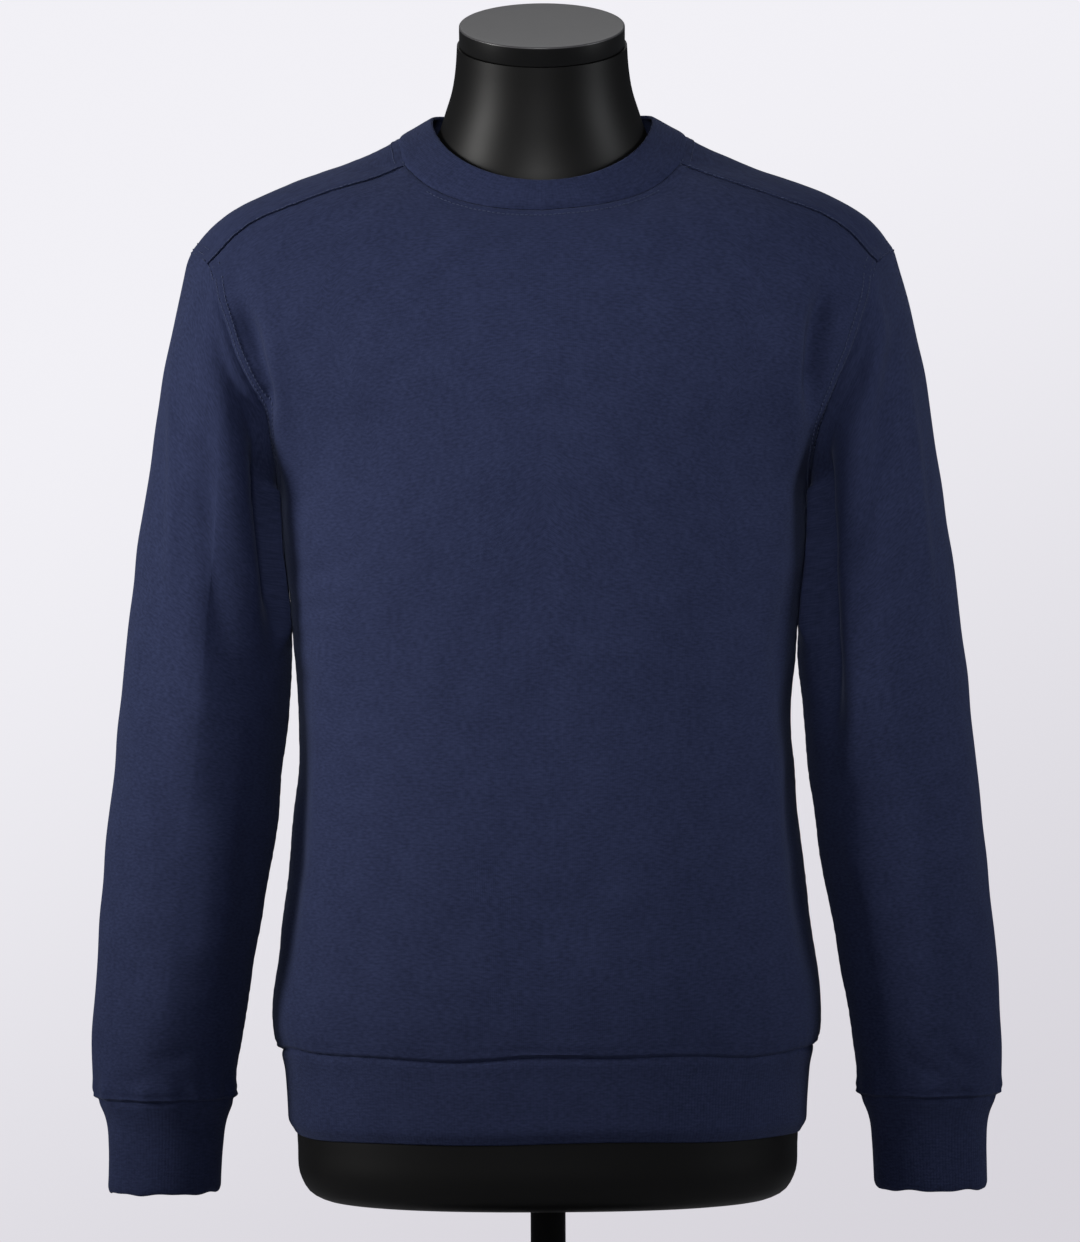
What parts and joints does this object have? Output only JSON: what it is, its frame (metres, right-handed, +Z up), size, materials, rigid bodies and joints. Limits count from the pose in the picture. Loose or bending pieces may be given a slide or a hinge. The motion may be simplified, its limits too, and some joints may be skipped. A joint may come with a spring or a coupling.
{
  "type": "crewneck sweatshirt on a limbless dress form",
  "caption": "Navy long-sleeved crewneck sweatshirt with ribbed neck, cuffs and hem, worn by a black limbless dress form with a neck cap, pole and round base.",
  "frame": {"origin": "middle of the round base's underside, on the floor, below the middle of the pole", "axes": "+Z up along the pole, -Y the way the garment faces, +X the wearer's left"},
  "size_m": [0.6194, 0.3, 1.0824],
  "materials": {
    "navy_fleece": "brushed matte knit",
    "navy_rib": "matte ribbed knit",
    "black_form_skin": "satin",
    "grey_cap_top": "satin",
    "black_pole_paint": "satin",
    "black_base_paint": "satin"
  },
  "bodies": {
    "root": {"front_panel": "navy_fleece", "back_panel": "navy_fleece", "sleeve_left": "navy_fleece", "sleeve_right": "navy_fleece", "neck_rib": "navy_rib", "hem_rib": "navy_rib", "cuff_left": "navy_rib", "cuff_right": "navy_rib", "form_torso": "black_form_skin", "neck_cap": "grey_cap_top", "form_pole": "black_pole_paint", "form_base": "black_base_paint"}
  },
  "joints": []
}
